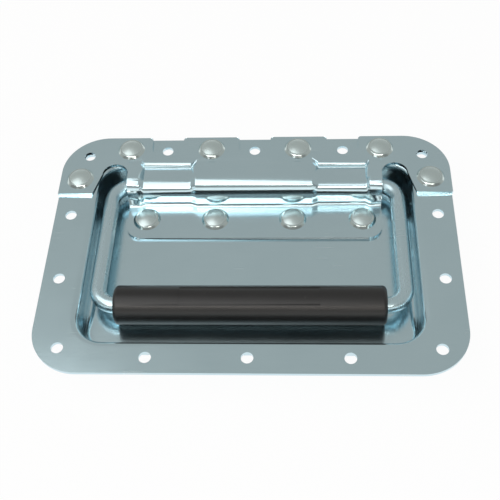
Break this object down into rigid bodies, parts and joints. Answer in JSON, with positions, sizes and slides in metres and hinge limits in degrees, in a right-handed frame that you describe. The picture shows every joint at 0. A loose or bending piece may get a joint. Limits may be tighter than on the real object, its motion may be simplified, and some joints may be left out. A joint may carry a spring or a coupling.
{
  "type": "recessed pull handle",
  "caption": "Sprung bail handle with a rubber grip lying in a pressed steel dish, turning under a riveted hinge cover; flange drilled all round for mounting",
  "frame": {"origin": "centre of the mounting holes, on the flange's top surface", "axes": "+X along the grip, +Y from the grip towards the hinge, +Z out of the case wall"},
  "size_m": [0.1766, 0.1233, 0.0198],
  "materials": {
    "dish_zinc": "bright zinc plating on pressed steel",
    "cover_zinc": "bright zinc plating on pressed steel",
    "rod_zinc": "bright zinc plating on bent rod",
    "rivet_zinc": "bright zinc plating, formed heads",
    "spring_steel": "spring wire",
    "grip_rubber": "matt black moulded rubber"
  },
  "bodies": {
    "housing": {"dish": "dish_zinc", "hinge_cover": "cover_zinc", "spring_left": "spring_steel", "spring_right": "spring_steel", "rivet_1": "rivet_zinc", "rivet_2": "rivet_zinc", "rivet_3": "rivet_zinc", "rivet_4": "rivet_zinc", "rivet_5": "rivet_zinc", "rivet_6": "rivet_zinc", "rivet_7": "rivet_zinc", "rivet_8": "rivet_zinc", "rivet_9": "rivet_zinc", "rivet_10": "rivet_zinc"},
    "bail": {"bail_rod": "rod_zinc", "grip": "grip_rubber"}
  },
  "joints": [
    {"name": "bail_hinge", "type": "hinge", "parent": "housing", "child": "bail", "pos_m": [0, 0.038, -0.0059], "axis": [-1, 0, 0], "range_deg": [0, 110], "stiffness_Nm_per_rad": 0.12, "springref_deg": -45.84, "deforming": ["spring_left", "spring_right"]}
  ]
}
